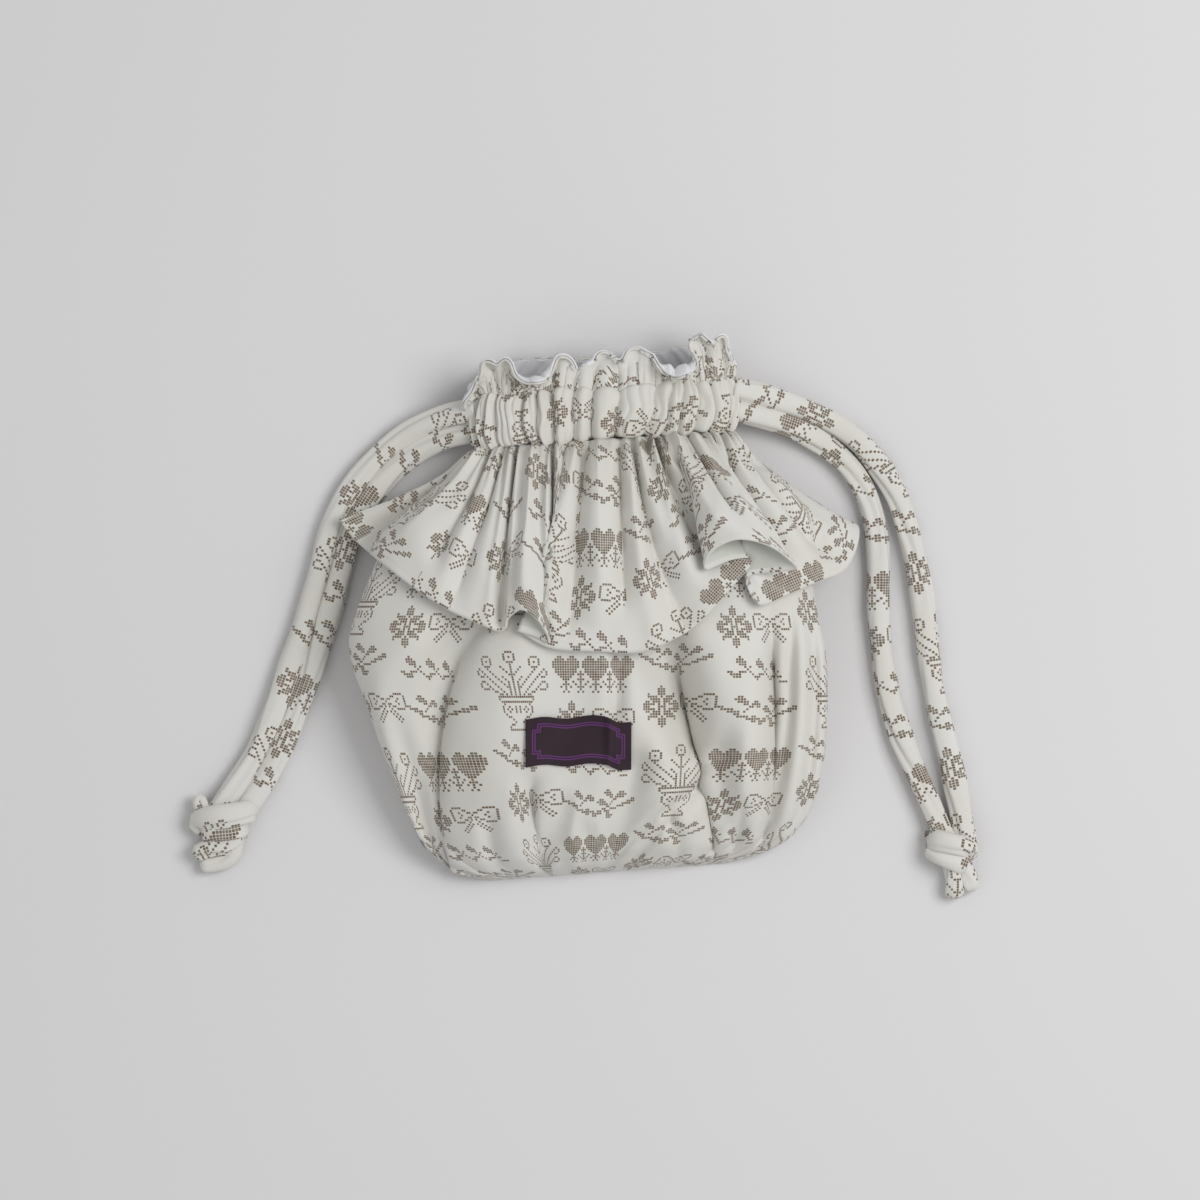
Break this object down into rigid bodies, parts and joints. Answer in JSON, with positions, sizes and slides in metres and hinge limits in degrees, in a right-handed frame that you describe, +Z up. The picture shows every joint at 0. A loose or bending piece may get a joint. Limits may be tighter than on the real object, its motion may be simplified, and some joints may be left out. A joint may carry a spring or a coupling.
{
  "type": "reticule",
  "caption": "Soft gathered drawstring pouch lying on its back, with a wide ruffle round its neck, a small frill at its mouth, and paired drawstrings knotted at their ends.",
  "frame": {"origin": "on the ground under the middle of the pouch with its ruffle and frill, without the drawstrings", "axes": "+Y along the pouch from its bottom seam to its mouth, +X to the right as it lies, +Z up through its front"},
  "size_m": [0.3368, 0.2382, 0.0659],
  "materials": {
    "printed_knit": "matt off-white cotton knit with a fine brown dot print",
    "white_lining": "plain white woven cotton",
    "woven_label": "dark purple woven ribbon with a lighter double border"
  },
  "bodies": {
    "root": {"bag_body": "printed_knit", "flounce": "printed_knit", "casing": "printed_knit", "top_frill": "printed_knit", "lining": "white_lining", "label": "woven_label", "cord_left_upper": "printed_knit", "cord_left_lower": "printed_knit", "cord_right_upper": "printed_knit", "cord_right_lower": "printed_knit", "knot_left": "printed_knit", "knot_right": "printed_knit"}
  },
  "joints": []
}
